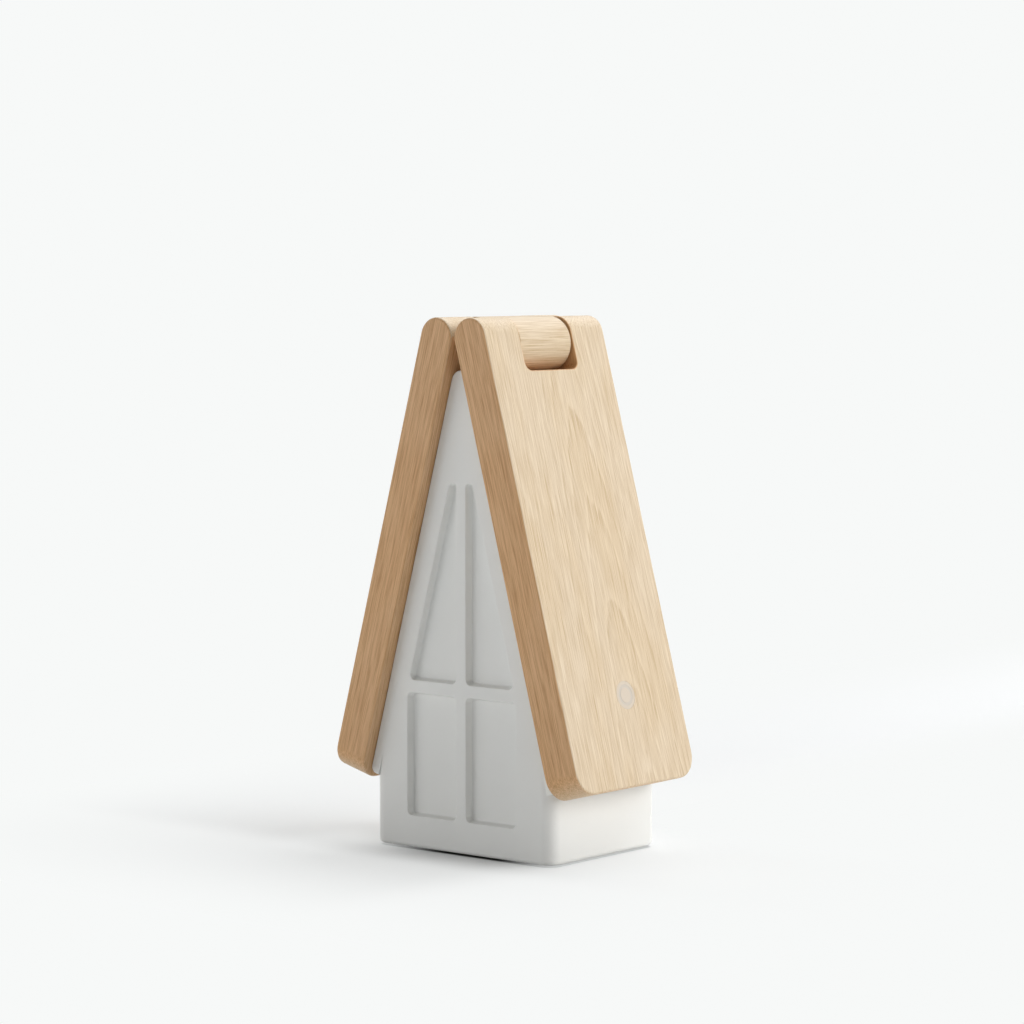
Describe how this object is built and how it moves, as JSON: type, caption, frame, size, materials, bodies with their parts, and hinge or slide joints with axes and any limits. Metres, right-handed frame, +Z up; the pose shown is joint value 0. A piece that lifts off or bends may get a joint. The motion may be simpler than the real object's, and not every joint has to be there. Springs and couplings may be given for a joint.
{
  "type": "folding desk lamp",
  "caption": "House-shaped rechargeable desk lamp: a white moulded body under wooden roof boards, one of which folds open over the ridge and carries a light panel.",
  "frame": {"origin": "on the foot's flat underside, midway between the two hinge axes and midway along the roof boards", "axes": "+Z up, the gable with the windows faces -Y, the folding board with the touch disc is on +X and both hinge axes run along Y"},
  "size_m": [0.123, 0.0722, 0.205],
  "materials": {
    "oak": "pale oak, fine sanded, matt oiled",
    "white_plastic": "matt white moulding, very fine texture",
    "dark_rubber": "matt",
    "grey_plastic": "matt moulding",
    "steel": "satin",
    "aluminium": "satin",
    "brass": "turned",
    "dark_acetal": "smooth matt",
    "circuit_board": "satin lacquer",
    "white_board": "white solder mask",
    "cell_can": "shrink-wrapped can",
    "opal_acrylic": "satin opal",
    "frosted_disc": "frosted"
  },
  "bodies": {
    "house": {"rubber_foot": "dark_rubber", "base_cover": "grey_plastic", "cover_screw_1": "steel", "cover_screw_2": "steel", "cover_screw_3": "steel", "cover_screw_4": "steel", "ballast_plate": "steel", "battery_cradle": "grey_plastic", "battery_cell_1": "cell_can", "battery_cell_2": "cell_can", "control_board": "circuit_board", "control_board_screw_1": "steel", "control_board_screw_2": "steel", "charge_socket": "steel", "charge_light": "opal_acrylic", "house_shell": "white_plastic", "roof_saddle": "white_plastic", "fixed_board": "oak", "board_screw_1": "steel", "board_screw_2": "steel", "board_screw_3": "steel", "board_screw_4": "steel", "left_front_bush": "brass", "left_back_bush": "brass"},
    "link": {"ridge_link": "oak", "left_hinge_shaft": "steel", "right_hinge_shaft": "steel", "left_washer": "dark_acetal", "right_washer": "dark_acetal"},
    "head": {"folding_board": "oak", "led_tray": "aluminium", "tray_screw_1": "steel", "tray_screw_2": "steel", "tray_screw_3": "steel", "tray_screw_4": "steel", "led_board": "white_board", "light_diffuser": "opal_acrylic", "touch_disc": "frosted_disc", "touch_board": "circuit_board", "right_front_bush": "brass", "right_back_bush": "brass"}
  },
  "joints": [
    {"name": "link_swing", "type": "hinge", "parent": "house", "child": "link", "pos_m": [-0.00835, 0, 0.1974], "axis": [0, -1, 0], "range_deg": [0, 164.8]},
    {"name": "head_swing", "type": "hinge", "parent": "link", "child": "head", "pos_m": [0.00835, 0, 0.1974], "axis": [0, -1, 0], "range_deg": [0, 164.8]}
  ]
}
